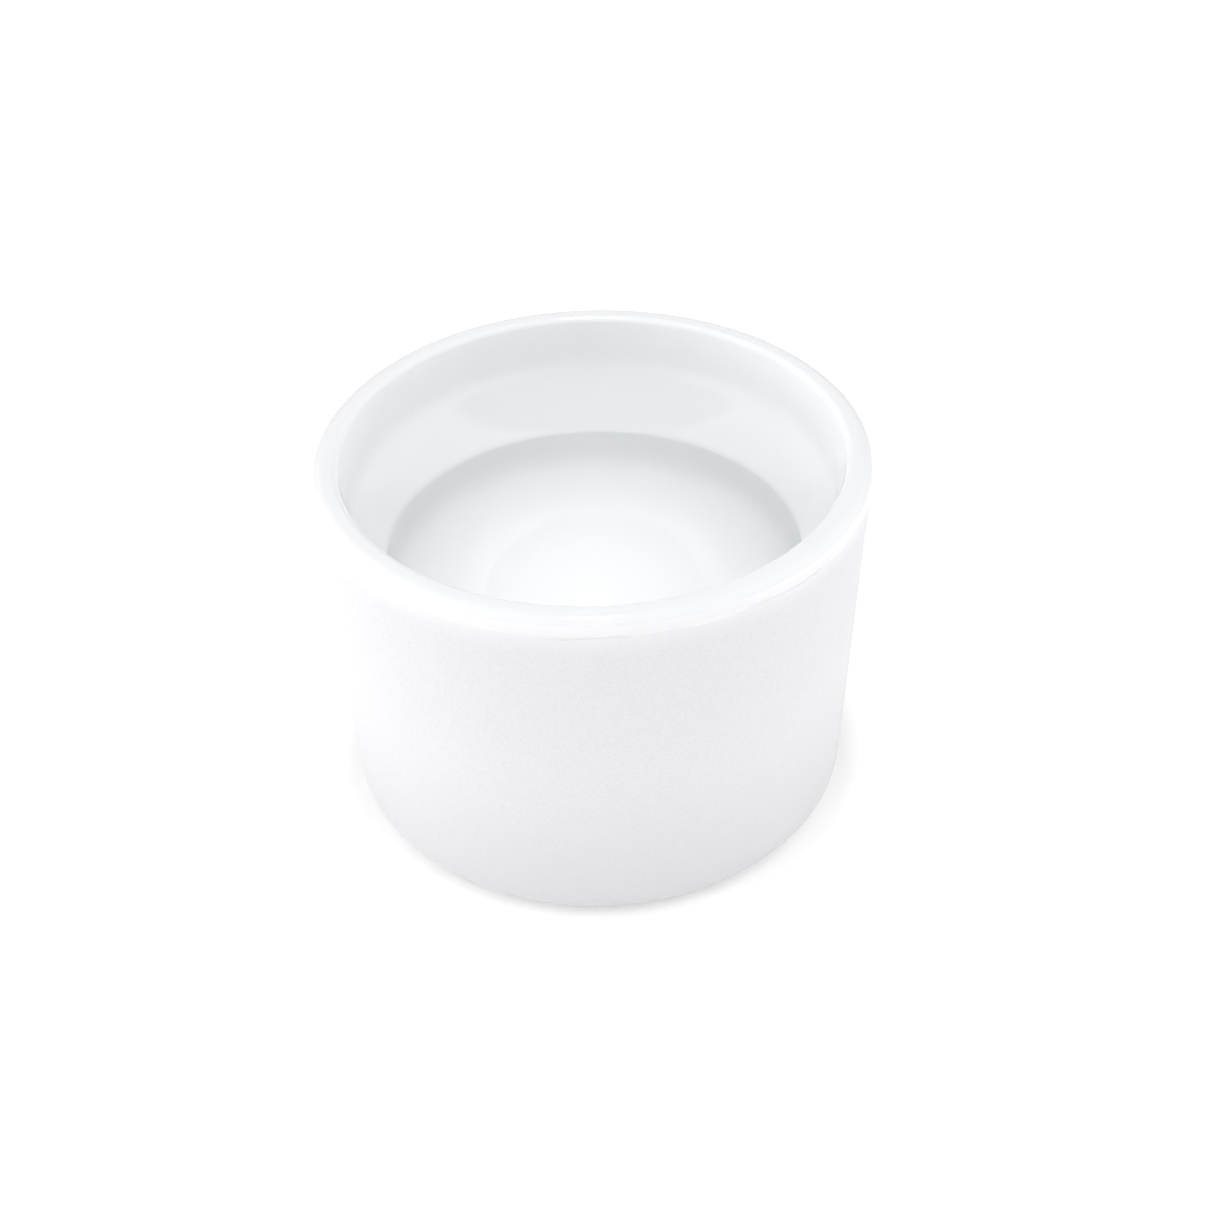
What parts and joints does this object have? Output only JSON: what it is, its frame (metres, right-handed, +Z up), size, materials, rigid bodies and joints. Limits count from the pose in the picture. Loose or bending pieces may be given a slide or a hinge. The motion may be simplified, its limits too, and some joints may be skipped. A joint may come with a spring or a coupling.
{
  "type": "porcelain crucible",
  "caption": "Low cylindrical porcelain crucible with a bare matt outside, a thick rounded rim and a glazed bowl below a soft shoulder, for holding a sample while it is heated.",
  "frame": {"origin": "middle of the foot, on the surface the crucible stands on", "axes": "+Z up the crucible's own axis, out of its mouth; +X and +Y are free, because the crucible is round"},
  "size_m": [0.038, 0.038, 0.0272],
  "materials": {
    "biscuit_porcelain": "bare fired porcelain, matt with a very fine grain",
    "clear_glaze": "smooth glossy glaze with a faint blue cast"
  },
  "bodies": {
    "root": {"body": "biscuit_porcelain", "inner_glaze": "clear_glaze"}
  },
  "joints": []
}
